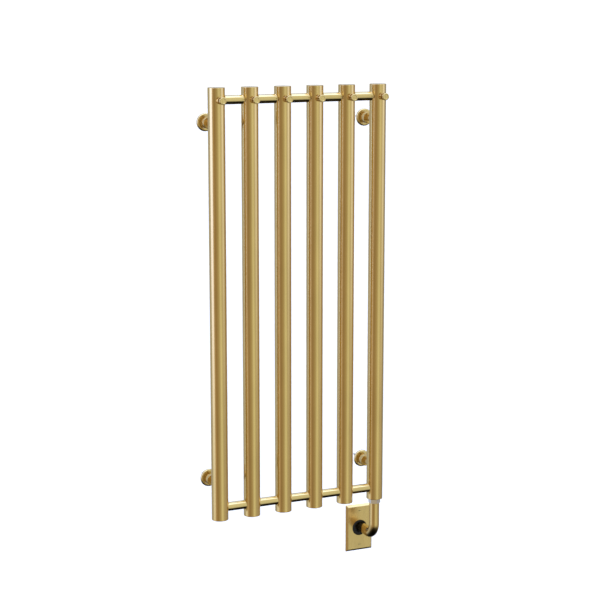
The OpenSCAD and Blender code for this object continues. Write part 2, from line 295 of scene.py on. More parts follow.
def prism(sides, across_flats, low, high):
    """Solid with a regular outline, along Z."""
    bm = bmesh.new()
    radius = across_flats / 2 / math.cos(math.pi / sides)
    bmesh.ops.create_circle(bm, cap_ends=True, segments=sides, radius=radius)
    bmesh.ops.translate(bm, vec=(0, 0, low), verts=bm.verts)
    top = bmesh.ops.extrude_face_region(bm, geom=bm.faces[:])
    verts = [g for g in top["geom"] if isinstance(g, bmesh.types.BMVert)]
    bmesh.ops.translate(bm, vec=(0, 0, high - low), verts=verts)
    bmesh.ops.recalc_face_normals(bm, faces=bm.faces)
    return bm


def block(size, centre=(0, 0, 0)):
    bm = bmesh.new()
    bmesh.ops.create_cube(bm, size=1)
    bmesh.ops.scale(bm, vec=size, verts=bm.verts)
    bmesh.ops.translate(bm, vec=centre, verts=bm.verts)
    return bm


def moved(bm, matrix):
    bmesh.ops.transform(bm, matrix=matrix, verts=bm.verts)
    return bm


def keep_own(bm):
    """Stores each point's place before the piece is turned and put where it goes."""
    own = bm.verts.layers.float_vector.get("own")
    if own is None:
        own = bm.verts.layers.float_vector.new("own")
        for v in bm.verts:
            v[own] = v.co
    return bm


def joined(bm, other):
    """Adds another mesh's faces to bm."""
    spare = bpy.data.meshes.new("spare")
    other.to_mesh(spare)
    other.free()
    bm.from_mesh(spare)
    bpy.data.meshes.remove(spare)
    return bm


def carved(bm, tool, operation="DIFFERENCE"):
    """Closed mesh bm with the closed mesh tool cut from it, or kept within it."""
    made = []
    for name, source in (("blank", bm), ("tool", tool)):
        mesh = bpy.data.meshes.new(name)
        source.to_mesh(mesh)
        source.free()
        made.append(bpy.data.objects.new(name, mesh))
        bpy.context.scene.collection.objects.link(made[-1])
    cut = made[0].modifiers.new("cut", "BOOLEAN")
    cut.object, cut.operation, cut.solver = made[1], operation, "EXACT"
    result = bmesh.new()
    result.from_object(made[0], bpy.context.evaluated_depsgraph_get())
    for obj in made:
        mesh = obj.data
        bpy.data.objects.remove(obj)
        bpy.data.meshes.remove(mesh)
    bmesh.ops.remove_doubles(result, verts=result.verts, dist=1e-7)
    return result


def root_of(bm, height):
    """Points of a peg or stud at the height of its root."""
    return [v for v in bm.verts if v.co.z < height + HAIR]


def seat_on_tube(verts):
    """Moves the root of a peg or stud onto the round of its upright."""
    for v in verts:
        if v.is_valid:
            v.co.z = math.sqrt((TUBE_D / 2) ** 2 - v.co.x**2) + HAIR


def piece(name, bm, body, slot, nodes, turn=UP, place=(0, 0, 0), crease=35, finish=None):
    """Finished object: its own coordinates are kept as an attribute for the finish to follow."""
    moved(keep_own(bm), Matrix.Translation(Vector(place)) @ turn)
    mesh = bpy.data.meshes.new(name)
    bm.to_mesh(mesh)
    bm.free()
    mesh.shade_smooth()
    mesh.set_sharp_from_angle(angle=math.radians(crease))
    mesh.materials.append(finishes()[finish or slot])
    obj = bpy.data.objects.new(name, mesh)
    bpy.context.scene.collection.objects.link(obj)
    even = obj.modifiers.new("even", "WEIGHTED_NORMAL")
    even.mode, even.keep_sharp = "FACE_AREA", True
    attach(obj, body)
    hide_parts(*nodes)
    return obj


def screw_thread(core, crest, pitch, low, high, steps=20, taper=0.0):
    """Closed ridge that winds up around Z, fading over the length taper at its low end."""
    bm = bmesh.new()
    sunk = core * 0.9
    points = [(sunk, 0), (crest, 0.42 * pitch), (crest, 0.5 * pitch), (sunk, 0.92 * pitch)]
    bm.faces.new([bm.verts.new((r, 0, low + h)) for r, h in points])
    turns = (high - low - pitch) / pitch
    count = max(8, int(turns * steps))
    bmesh.ops.spin(
        bm, geom=bm.verts[:] + bm.edges[:] + bm.faces[:], cent=(0, 0, 0), axis=(0, 0, 1),
        angle=2 * math.pi * turns, steps=count, dvec=(0, 0, (high - low - pitch) / count),
    )
    if taper:
        for v in bm.verts:
            share = min(1.0, max(0.05, (v.co.z - low) / taper))
            v.co.x *= share
            v.co.y *= share
    bmesh.ops.recalc_face_normals(bm, faces=bm.faces)
    return bm


# ---- finishes


# Stretches of the fine and the broad rings on a turned piece
TURNED = ((1800, 0, 1800), (300, 0, 300))


def new_finish(name):
    """Material with a Principled shader; returns the material, its node tree and the shader."""
    mat = bpy.data.materials.new(name)
    mat.use_nodes = True
    tree = mat.node_tree
    shader = tree.nodes["Principled BSDF"]
    return mat, tree, shader


def node(tree, kind, inputs=None, **settings):
    """New node with its settings; an input takes a value, or a link from another node's output."""
    made = tree.nodes.new(kind)
    for key, value in settings.items():
        setattr(made, key, value)
    for key, value in (inputs or {}).items():
        if isinstance(value, bpy.types.NodeSocket):
            tree.links.new(value, made.inputs[key])
        else:
            made.inputs[key].default_value = value
    return made


def noise(tree, vector, scale, detail=3.0, rough=0.55):
    """Noise over a coordinate that has been stretched by scale, from 0 to 1."""
    spread = node(tree, "ShaderNodeMapping", {"Vector": vector, "Scale": scale})
    return node(
        tree, "ShaderNodeTexNoise",
        {"Vector": spread.outputs[0], "Scale": 1.0, "Detail": detail, "Roughness": rough},
    ).outputs["Fac"]


def spread_to(tree, value, low, high, start=0.3, end=0.7):
    """Value from start to end turned into low to high."""
    return node(
        tree, "ShaderNodeMapRange",
        {"Value": value, "From Min": start, "From Max": end, "To Min": low, "To Max": high},
    ).outputs[0]


def own_place(tree):
    return node(tree, "ShaderNodeAttribute", attribute_name="own").outputs["Vector"]


def around_axis(tree, place):
    """Coordinate that is the same all the way round a turned piece: radius and height."""
    parts = node(tree, "ShaderNodeSeparateXYZ", {0: place})
    flat = node(tree, "ShaderNodeCombineXYZ", {"X": parts.outputs["X"], "Y": parts.outputs["Y"]})
    radius = node(tree, "ShaderNodeVectorMath", {0: flat.outputs[0]}, operation="LENGTH")
    return node(
        tree, "ShaderNodeCombineXYZ", {"X": radius.outputs["Value"], "Z": parts.outputs["Z"]}
    ).outputs[0]


def mixed(tree, share, first, second, blend="MIX"):
    """Colour made from two, each a value or another node's output."""
    return node(
        tree, "ShaderNodeMix", {"Factor": share, 6: first, 7: second}, data_type="RGBA", blend_type=blend
    ).outputs[2]


def sum_of(tree, first, second, operation="ADD"):
    """Two numbers joined by one of the maths node's operations."""
    return node(tree, "ShaderNodeMath", {0: first, 1: second}, operation=operation).outputs[0]


def tinted(tree, colour, shade, amount):
    """Colour that moves between two depths of the same metal."""
    deep = tuple(c * (1 - amount) for c in colour)
    pale = tuple(min(1.0, c * (1 + amount)) for c in colour)
    return mixed(tree, shade, (*deep, 1), (*pale, 1))


def metal(name, colour, roughness, grain, fine, broad, bump=0.04, tone=0.05, spread=0.05):
    """Worked metal with a fine and a broad grain, which run along, in rings or over a sheet."""
    mat, tree, shader = new_finish(name)
    whole = node(tree, "ShaderNodeTexCoord").outputs["Object"]
    place = whole if grain == "sheet" else own_place(tree)
    if grain == "rings":
        place = around_axis(tree, place)
    lines = noise(tree, place, fine)
    streaks = noise(tree, place, broad, detail=2.0)
    smudge = noise(tree, whole, (22, 22, 9), detail=2.0)
    shade = spread_to(tree, sum_of(tree, streaks, smudge), 0, 1, 0.75, 1.25)
    tree.links.new(tinted(tree, colour, shade, tone), shader.inputs["Base Color"])
    worked = spread_to(tree, lines, roughness - spread / 2, roughness + spread / 2)
    polish = sum_of(tree, worked, spread_to(tree, smudge, 0, spread))
    tree.links.new(polish, shader.inputs["Roughness"])
    raised = node(tree, "ShaderNodeBump", {"Strength": bump, "Distance": 0.0002, "Height": lines})
    tree.links.new(raised.outputs[0], shader.inputs["Normal"])
    shader.inputs["Metallic"].default_value = 1.0
    return mat


def dull(name, colour, roughness, scale, bump=0.15, tone=0.12):
    """Rubber, moulded resin or other matt stuff with a slightly uneven skin."""
    mat, tree, shader = new_finish(name)
    place = node(tree, "ShaderNodeTexCoord").outputs["Object"]
    skin = noise(tree, place, (scale, scale, scale), detail=4.0)
    tree.links.new(tinted(tree, colour, skin, tone), shader.inputs["Base Color"])
    tree.links.new(spread_to(tree, skin, roughness - 0.06, roughness + 0.06), shader.inputs["Roughness"])
    raised = node(tree, "ShaderNodeBump", {"Strength": bump, "Distance": 0.0003, "Height": skin})
    tree.links.new(raised.outputs[0], shader.inputs["Normal"])
    return mat


def brass_with_painted_slot_shade(colour, roughness):
    """Turned brass with painted shade in the slot: darkened more than a fine step below the screw's face."""
    mat = metal("bright_brass_slotted", colour, roughness, "rings", *TURNED)
    tree = mat.node_tree
    shader = tree.nodes["Principled BSDF"]
    depth = node(tree, "ShaderNodeSeparateXYZ", {0: own_place(tree)}).outputs["Z"]
    slot_shade = spread_to(tree, depth, 0, 1, 0.1 * MM, 0.25 * MM)
    bright = shader.inputs["Base Color"].links[0].from_socket
    # painted shade: near-black brown wherever the slot is sunk below the face
    tree.links.new(mixed(tree, slot_shade, bright, (0.02, 0.014, 0.008, 1)), shader.inputs["Base Color"])
    return mat


def finishes():
    """The rack's finishes by the name of their slot in the record, made once."""
    if "satin_brass_tube" in bpy.data.materials:
        return {m["slot_name"]: m for m in bpy.data.materials if "slot_name" in m}
    f = bpy.context.scene.rack_finish
    brass, bright = tuple(f.brass), tuple(f.bright_brass)
    made = {
        "brushed_brass": metal(
            "satin_brass_tube", brass, f.tube_gloss, "along", fine=(2400, 2400, 14), broad=(260, 260, 2.5)
        ),
        "polished_brass": metal("bright_brass_turned", bright, f.turned_gloss, "rings", *TURNED),
        "plate_brass": metal(
            "satin_brass_sheet", tuple(f.sheet_brass), 0.24, "sheet", fine=(3000, 3000, 60),
            broad=(120, 120, 25),
        ),
        "chrome": metal(
            "bright_chrome", tuple(f.chrome), 0.07, "sheet", fine=(900,) * 3, broad=(90,) * 3, bump=0.01,
            tone=0.02, spread=0.03,
        ),
        "zinc_steel": metal(
            "zinc_plated_steel", (0.56, 0.57, 0.60), 0.34, "sheet", fine=(1400,) * 3, broad=(140,) * 3,
            tone=0.12,
        ),
        "dark_steel": metal(
            "blackened_steel", (0.06, 0.06, 0.065), 0.38, "sheet", fine=(1600,) * 3, broad=(200,) * 3,
            tone=0.2,
        ),
        "seal": dull("sealing_rubber", (0.03, 0.03, 0.032), 0.62, 900),
        "gland_rubber": dull("gland_rubber", (0.022, 0.022, 0.024), 0.7, 700),
        # turned brass with painted shade in the screw slots
        "brass_with_painted_slot_shade": brass_with_painted_slot_shade(bright, f.turned_gloss),
        # black foam for the pad, and painted shade where its plug fills the wall's hollow
        "foam": dull("closed_cell_foam", (0.012, 0.012, 0.013), 0.85, 1600, bump=0.5, tone=0.4),
        "cutout_case": dull("cutout_resin", (0.62, 0.58, 0.47), 0.5, 500, bump=0.06),
    }
    for name, mat in made.items():
        mat["slot_name"] = name
    return made


# ---- light


# Brightness that a ramp's full white stands for
FULL = 4.0
# The light is a sum of pairs of ramps: colour by bearing, in degrees to the right of the rack's front,
# times colour by height above the horizon
LIGHTS = (
    (  # the room
        [
            (-180, 0.50, 0.52, 0.55), (-135, 0.50, 0.54, 0.58), (-118, 0.50, 0.50, 0.50),
            (-66, 0.52, 0.41, 0.27), (-52, 0.33, 0.25, 0.16), (-40, 0.41, 0.32, 0.20),
            (-26, 0.43, 0.37, 0.24), (-11, 0.53, 0.49, 0.32), (0, 0.67, 0.66, 0.54),
            (13, 0.82, 0.84, 0.70), (21, 0.77, 0.79, 0.64), (31, 0.66, 0.66, 0.53),
            (46, 0.50, 0.47, 0.37), (75, 0.44, 0.41, 0.34), (96, 0.26, 0.24, 0.22),
            (112, 0.40, 0.44, 0.52), (125, 0.62, 0.70, 0.95), (150, 0.50, 0.53, 0.60),
            (180, 0.50, 0.52, 0.55),
        ],
        [
            (-90, 0.0), (-62, 0.01), (-48, 0.05), (-40, 0.18), (-31, 0.75), (-24, 1.0), (16, 1.06),
            (45, 1.2), (90, 1.5),
        ],
    ),
    (  # the tall screen on the left
        [(-180, 0.0), (-122, 0.0), (-115, 1.0), (-84, 0.95), (-76, 0.0), (180, 0.0)],
        [
            (-90, 0.0), (-26, 0.0), (-20, 0.26, 0.29, 0.34), (-16, 0.52, 0.62, 0.80),
            (-11, 0.75, 0.90, 1.75), (-4, 1.0, 1.30, 2.60), (20, 1.1, 1.40, 2.70), (90, 1.1, 1.40, 2.70),
        ],
    ),
    (  # the window on the right
        [
            (-180, 0.0), (33, 0.0), (46, 0.4), (58, 1.0), (66, 1.0), (76, 0.5), (88, 0.3), (100, 0.0),
            (180, 0.0),
        ],
        [
            (-90, 0.0), (-19, 0.0), (-16, 0.07), (-11, 0.30, 0.33, 0.40), (-4, 0.66, 0.76, 1.10),
            (20, 0.9, 1.1, 1.5), (90, 0.9, 1.1, 1.5),
        ],
    ),
    (  # the ceiling
        [(-180, 1.0), (180, 1.0)],
        [(-90, 0.0), (44, 0.0), (62, 0.75, 1.0, 1.7), (90, 0.70, 0.95, 1.6)],
    ),
)


# ---- operators, one for each piece or group of like pieces


class RACK_OT_stage(Operator):
    """Camera, studio light and floor"""

    bl_idname = "rack.stage"
    bl_label = "Stage"

    def execute(self, context):
        s = context.scene.rack_stage
        camera = bpy.data.cameras.new("camera")
        camera.lens = s.lens
        camera.sensor_width = 36
        camera.clip_end = 60
        view = bpy.data.objects.new("camera", camera)
        view.location = s.camera_place
        view.rotation_euler = (math.pi / 2 - s.camera_tilt, 0, -s.camera_turn)
        context.scene.collection.objects.link(view)
        context.scene.camera = view
        context.scene.view_settings.view_transform = "Standard"
        self.studio(context.scene, s.brightness)
        self.floor(context.scene, s.floor_drop)
        return {"FINISHED"}

    def studio(self, scene, brightness):
        """Light from all round: warm and even at eye level, cool from above, from a tall screen on the
        left and from a window on the right."""
        world = bpy.data.worlds.new("studio")
        world.use_nodes = True
        scene.world = world
        tree = world.node_tree
        tree.nodes.clear()
        place = node(tree, "ShaderNodeTexCoord").outputs["Generated"]
        parts = node(tree, "ShaderNodeSeparateXYZ", {0: place}).outputs
        ahead = sum_of(tree, parts["Y"], -1.0, "MULTIPLY")
        around = spread_to(tree, sum_of(tree, parts["X"], ahead, "ARCTAN2"), 0, 1, -math.pi, math.pi)
        rise = node(tree, "ShaderNodeMath", {0: parts["Z"]}, operation="ARCSINE").outputs[0]
        height = spread_to(tree, rise, 0, 1, -math.pi / 2, math.pi / 2)
        total = None
        for bearing, level in LIGHTS:
            ramps = self.ramp(tree, around, bearing, 180), self.ramp(tree, height, level, 90)
            lamp = mixed(tree, 1.0, *ramps, blend="MULTIPLY")
            total = lamp if total is None else mixed(tree, 1.0, total, lamp, blend="ADD")
        strength = FULL * FULL * brightness
        lit = node(tree, "ShaderNodeBackground", {"Color": total, "Strength": strength}).outputs[0]
        plain = node(tree, "ShaderNodeBackground", {"Color": (1, 1, 1, 1), "Strength": 1.1}).outputs[0]
        path = node(tree, "ShaderNodeLightPath").outputs
        seen = sum_of(tree, path["Is Camera Ray"], path["Is Diffuse Ray"], "MAXIMUM")
        mix = node(tree, "ShaderNodeMixShader", {0: seen, 1: lit, 2: plain})
        node(tree, "ShaderNodeOutputWorld", {"Surface": mix.outputs[0]})

    def ramp(self, tree, value, stops, reach):
        """Ramp through colours at angles from -reach to reach degrees."""
        made = node(tree, "ShaderNodeValToRGB", {0: value})
        made.color_ramp.interpolation = "LINEAR"
        elements = made.color_ramp.elements
        while len(elements) > 1:
            elements.remove(elements[-1])
        places = [(angle + reach) / (2 * reach) for angle, *_ in stops]
        elements[0].position = places[0]
        for place in places[1:]:
            elements.new(place)
        for element, (_, *colour) in zip(elements, stops):
            red, green, blue = colour * (3 if len(colour) == 1 else 1)
            element.color = (red / FULL, green / FULL, blue / FULL, 1)
        return made.outputs[0]

    def floor(self, scene, drop):
        bm = bmesh.new()
        bmesh.ops.create_circle(bm, cap_ends=True, segments=96, radius=30)
        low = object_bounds()[0]
        bmesh.ops.translate(bm, vec=(0, 0, low.z - drop), verts=bm.verts)
        mesh = bpy.data.meshes.new("floor")
        bm.to_mesh(mesh)
        bm.free()
        mesh.materials.append(dull("pale_floor", (0.95, 0.95, 0.95), 0.8, 3, bump=0.01, tone=0.01))
        floor = bpy.data.objects.new("floor", mesh)
        floor.visible_glossy = False
        scene.collection.objects.link(floor)
        floor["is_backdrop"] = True


class RACK_OT_uprights(Operator):
    """Six tubes with rounded rims"""

    bl_idname = "rack.uprights"
    bl_label = "Uprights"

    def execute(self, context):
        s, r = context.scene.rack_sizes, TUBE_D / 2
        bore = r - s.wall
        for i, name in enumerate(numbered("tube"), 1):
            low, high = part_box(name)
            bm = turned([(bore, low.z), (r, low.z), (r, high.z), (bore, high.z)], s.steps)
            soften(bm, s.rim, where=lambda e: min(v.co.xy.length for v in e.verts) > r - s.wall / 2)
            c = (low + high) / 2
            piece(f"upright_{i}", bm, "rack", "brushed_brass", [name], place=(c.x, c.y, 0))
        return {"FINISHED"}


class RACK_OT_end_discs(Operator):
    """Discs that close the uprights, each with a fine seam around it"""

    bl_idname = "rack.end_discs"
    bl_label = "End discs"

    def execute(self, context):
        for name, label in (("top_caps", "top_discs"), ("bottom_caps", "bottom_discs")):
            low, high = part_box(name)
            t, r = high.z - low.z, (high.y - low.y) / 2
            whole = bmesh.new()
            for tube in numbered("tube"):
                x = middle_of(tube).x
                if x > high.x:
                    continue
                disc = keep_own(soften(rod(r, 0, t), 0.25 * MM, 2))
                joined(whole, moved(disc, Matrix.Translation((x, (low.y + high.y) / 2, low.z))))
            piece(label, whole, "rack", "brushed_brass", [name])
        return {"FINISHED"}


class RACK_OT_short_bars(Operator):
    """Short bars, brazed between neighbouring uprights"""

    bl_idname = "rack.short_bars"
    bl_label = "Short bars"

    def execute(self, context):
        s = context.scene.rack_sizes
        for stem, label in (("top_bar", "upper_bar"), ("bottom_bar", "lower_bar")):
            for i, name in enumerate(numbered(stem), 1):
                piece(
                    f"{label}_{i}", self.bar(s), "rack", "polished_brass", [name], turn=ACROSS,
                    place=middle_of(name),
                )
        return {"FINISHED"}

    def bar(self, s):
        """Hollow bar along Z whose ends follow the round of the uprights, flaring into a braze fillet."""
        r, half, fillet = BAR_D / 2, PITCH / 2, s.braze
        bore = r - s.wall
        ends = []
        for angle in (math.radians(a) for a in (0, 30, 60, 90)):
            ends.append((r + fillet * (1 - math.sin(angle)), half - fillet * (1 - math.cos(angle))))
        outside = [(radius, -z) for radius, z in ends] + ends[::-1]
        bm = turned([(bore, -half), *outside, (bore, half)], 48)
        for v in bm.verts:
            reach = math.sqrt((TUBE_D / 2) ** 2 - v.co.y**2) + HAIR
            v.co.z -= reach if v.co.z > 0 else -reach
        return bm


class RACK_OT_pegs(Operator):
    """Turned pegs with a base, a neck and a dished head"""

    bl_idname = "rack.pegs"
    bl_label = "Pegs"

    def execute(self, context):
        s = context.scene.rack_sizes
        for i, name in enumerate(numbered("peg"), 1):
            low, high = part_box(name)
            axis_y = middle_of(f"tube_{i}").y
            bm = self.peg(s, axis_y - low.y)
            c = (low + high) / 2
            piece(
                f"turned_peg_{i}", bm, "rack", "polished_brass", [name], turn=OUT, place=(c.x, axis_y, c.z)
            )
        return {"FINISHED"}

    def peg(self, s, face):
        """Peg along Z from its upright's axis to its face, whose dish has a raised dot in its middle."""
        r, neck_r, root = PEG_D / 2, s.peg_neck_d / 2, TUBE_D / 2
        neck, head = root + s.peg_base, root + s.peg_base + s.peg_neck
        dish, dot, deep = 0.68 * r, 0.3 * r, 0.5 * MM
        bm = turned([
            (0, root), (0.5 * r, root), (r, root), (r, neck), (neck_r, neck), (neck_r, head), (r, head),
            (r, face), (dish, face), (dish - deep, face - deep), (dot, face - deep), (dot, face), (0, face),
        ], 64)
        on_root = root_of(bm, root)
        soften(bm, s.peg_rim, 5, where=lambda e: all(
            v.co.z > face - HAIR and v.co.xy.length > 0.9 * r for v in e.verts
        ))
        soften(bm, 0.5 * MM, 3, where=lambda e: all(
            root + MM < v.co.z < face - 2 * s.peg_rim and v.co.xy.length > 0.7 * r for v in e.verts
        ))
        seat_on_tube(on_root)
        return bm


class RACK_OT_stand_offs(Operator):
    """Studs, socket posts, rosettes, grub screws and wall screws"""

    bl_idname = "rack.stand_offs"
    bl_label = "Stand-offs"

    def execute(self, context):
        for level in LEVELS:
            for side in SIDES:
                tail = f"{level}_{side}"
                self.stud(tail)
                self.post(tail)
                self.rosette(tail)
                self.grub(tail)
        self.wall_screws()
        return {"FINISHED"}

    def stud(self, tail):
        low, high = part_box(f"stud_{tail}")
        c, tube = (low + high) / 2, middle_of("tube_1")
        r, root, end = (high.x - low.x) / 2, TUBE_D / 2, high.y - tube.y
        bm = turned([(0, root), (0.5 * r, root), (r, root), (r, end), (0, end)], 48)
        on_root = root_of(bm, root)
        soften(bm, 0.6 * MM, 2, where=lambda e: e.verts[0].co.z > root + MM)
        seat_on_tube(on_root)
        piece(
            f"rack_stud_{tail}", bm, "rack", "brushed_brass", [f"stud_{tail}"], turn=INTO_WALL,
            place=(c.x, tube.y, c.z),
        )

    def post(self, tail):
        """Post with a socket for the stud, a countersunk hole in its floor and a tapped hole below."""
        low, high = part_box(f"socket_post_{tail}")
        c, grub = (low + high) / 2, middle_of(f"grub_screw_{tail}")
        r, length, bore = (high.x - low.x) / 2, high.y - low.y, size_of(f"stud_{tail}").x / 2 + 0.05 * MM
        hole, sink, floor, tapped = 2.7 * MM, 5.2 * MM, 6 * MM, 2.55 * MM
        bm = turned([
            (hole, 0), (r, 0), (r, length), (bore, length), (bore, floor), (sink, floor),
            (hole, floor - (sink - hole)),
        ], 64)
        soften(bm, 0.8 * MM, where=lambda e: (
            e.verts[0].co.z > length - HAIR and e.verts[0].co.xy.length > r - HAIR
        ))
        drill = moved(rod(tapped, 0, r + MM, 32), Matrix.Translation((0, 0, -grub.y)) @ OUT)
        piece(
            f"post_{tail}", carved(bm, drill), "wall_side", "brushed_brass", [f"socket_post_{tail}"],
            turn=OUT, place=(c.x, 0, c.z),
        )

    def rosette(self, tail):
        """Rosette with a rounded front edge and a step around the post."""
        low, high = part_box(f"rosette_{tail}")
        c, bore = (low + high) / 2, size_of(f"socket_post_{tail}").x / 2 + 0.2 * MM
        r, t, step, sunk = (high.x - low.x) / 2, high.y - low.y, bore + 2 * MM, 1.5 * MM
        bm = turned([(bore, 0), (r, 0), (r, t), (step, t), (step, t - sunk), (bore, t - sunk)], 96)
        soften(bm, 0.6 * t, 8, where=lambda e: (
            min(v.co.z for v in e.verts) > t / 2 and min(v.co.xy.length for v in e.verts) > r - 0.1 * MM
        ))
        soften(bm, 0.3 * MM, 2, 60)
        piece(
            f"wall_rosette_{tail}", bm, "wall_side", "polished_brass", [f"rosette_{tail}"], turn=OUT,
            place=(c.x, 0, c.z),
        )

    def grub(self, tail):
        low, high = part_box(f"grub_screw_{tail}")
        c = (low + high) / 2
        bm = grub_screw((high.x - low.x) / 2, high.z - low.z, 2.5 * MM, 2.5 * MM)
        piece(
            f"locking_grub_{tail}", bm, f"lock_{tail}", "dark_steel", [f"grub_screw_{tail}"],
            place=(c.x, c.y, low.z),
        )

    def wall_screws(self):
        low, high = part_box("wall_screws")
        whole = bmesh.new()
        for level in LEVELS:
            for side in SIDES:
                post = middle_of(f"socket_post_{level}_{side}")
                screw = keep_own(self.wall_screw(high.y - low.y, high.y))
                joined(whole, moved(screw, Matrix.Translation((post.x, low.y, post.z)) @ INTO_WALL))
        piece("wood_screws", whole, "wall_side", "zinc_steel", ["wall_screws"])

    def wall_screw(self, length, in_wall):
        """Countersunk cross-head screw along Z, head at 0."""
        head, neck, core, crest, start = 5 * MM, 2 * MM, 1.7 * MM, 2.5 * MM, length - in_wall
        tip, end = 6 * MM, length - 0.5 * MM
        bm = turned([
            (0, 0), (head, 0), (neck, head - neck), (neck, start), (core, start + 0.3 * MM),
            (core, length - tip), (0.1 * MM, end), (0, end),
        ], 32)
        for angle in (0, 90):
            slot = block((4.6 * MM, 1.1 * MM, 4 * MM))
            bm = carved(bm, moved(slot, Matrix.Rotation(math.radians(angle), 4, "Z")))
        ridge = screw_thread(core, crest, 2.2 * MM, -length + 0.6 * MM, -start, taper=7 * MM)
        return joined(bm, moved(ridge, DOWN))


def grub_screw(r, length, key, depth):
    """Grub screw along Z with a hexagon socket at its low end and a cupped point."""
    cup = length - 0.4 * MM
    bm = turned([(0, 0), (r, 0), (r, length), (0.5 * r, length), (0.2 * r, cup), (0, cup)], 40)
    soften(bm, 0.3 * MM, 2, 50, where=lambda e: e.verts[0].co.xy.length > 0.9 * r)
    return carved(bm, prism(6, key, -MM, depth))


class RACK_OT_element(Operator):
    """Plug with its hexagon and the sealing ring under the tube"""

    bl_idname = "rack.element"
    bl_label = "Element"

    def execute(self, context):
        low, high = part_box("element_plug")
        ring_low, ring_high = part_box("sealing_ring")
        c = (low + high) / 2
        top, bottom = ring_low.z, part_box("elbow_cover")[1].z
        shank, bore, sheath, seat = 10.45 * MM, 7 * MM, 5.03 * MM, 4 * MM
        flats, rounding, fall, way_in = 24 * MM, 1.6 * MM, 0.95 * MM, 9 * MM
        body = turned([
            (bore, low.z), (shank, low.z), (shank, high.z), (sheath, high.z), (sheath, high.z - seat),
            (bore, high.z - seat),
        ], 64)
        soften(body, 0.4 * MM, 2, 50)
        corner = flats / math.sqrt(3)
        dome = turned([
            (0, bottom), (corner - rounding, bottom), (corner, bottom + fall), (corner, top - fall),
            (corner - rounding, top), (0, top),
        ], 96)
        nut = carved(prism(6, flats, bottom, top), dome, "INTERSECT")
        nut = carved(nut, rod(way_in, bottom - MM, top + MM))
        piece(
            "element_hexagon", carved(body, nut, "UNION"), "rack", "chrome", ["element_plug"],
            place=(c.x, c.y, 0), crease=20,
        )
        inner, outer, t = 10.48 * MM, (ring_high.x - ring_low.x) / 2, ring_high.z - ring_low.z
        ring = soften(turned([(inner, 0), (outer, 0), (outer, t), (inner, t)]), 0.4 * MM, 3, 50)
        piece("seal_ring", ring, "rack", "seal", ["sealing_ring"], place=(c.x, c.y, ring_low.z))
        return {"FINISHED"}


class RACK_OT_cover(Operator):
    """Bent cover that hides the lead, with the grub screw that holds it"""

    bl_idname = "rack.cover"
    bl_label = "Bent cover"

    def execute(self, context):
        s = context.scene.rack_sizes
        low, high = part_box("elbow_cover")
        r = (high.x - low.x) / 2
        axis_y, leg_z = low.y + r, low.z + r
        bend_z, bend_y = leg_z + s.cover_bend, axis_y + s.cover_bend
        bm = bmesh.new()
        bmesh.ops.create_circle(bm, segments=72, radius=r)
        bmesh.ops.translate(bm, vec=(0, axis_y, high.z), verts=bm.verts)
        self.draw_out(bm, bm.edges[:], (0, 0, bend_z - high.z))
        last = [e for e in bm.edges if all(abs(v.co.z - bend_z) < 1e-6 for v in e.verts)]
        geom = last + list({v for e in last for v in e.verts})
        bent = bmesh.ops.spin(
            bm, geom=geom, cent=(0, bend_y, bend_z), axis=(1, 0, 0), angle=math.radians(90), steps=24
        )
        last = [g for g in bent["geom_last"] if isinstance(g, bmesh.types.BMEdge)]
        self.draw_out(bm, last, (0, high.y - bend_y, 0))
        bmesh.ops.remove_doubles(bm, verts=bm.verts, dist=1e-6)
        bmesh.ops.recalc_face_normals(bm, faces=bm.faces)
        bmesh.ops.solidify(bm, geom=bm.faces[:], thickness=s.cover_wall)
        bmesh.ops.recalc_face_normals(bm, faces=bm.faces)
        soften(bm, 0.35 * MM, 3, 60)
        tapped, grub = 2.05 * MM, middle_of("elbow_grub_screw")
        drill = moved(rod(tapped, 0, r + 2 * MM, 32), Matrix.Translation((0, axis_y, grub.z)) @ INTO_WALL)
        piece(
            "bent_cover", carved(bm, drill), "cover", "brushed_brass", ["elbow_cover"],
            place=((low.x + high.x) / 2, 0, 0),
        )
        self.grub()
        return {"FINISHED"}

    def draw_out(self, bm, edges, way):
        """Extends the cover from its open edges."""
        made = bmesh.ops.extrude_edge_only(bm, edges=edges)
        verts = [g for g in made["geom"] if isinstance(g, bmesh.types.BMVert)]
        bmesh.ops.translate(bm, vec=way, verts=verts)

    def grub(self):
        low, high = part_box("elbow_grub_screw")
        c = (low + high) / 2
        bm = grub_screw((high.x - low.x) / 2, high.y - low.y, 2 * MM, 1.2 * MM)
        piece(
            "cover_grub", bm, "cover_lock", "dark_steel", ["elbow_grub_screw"], turn=OUT,
            place=(c.x, high.y, c.z),
        )


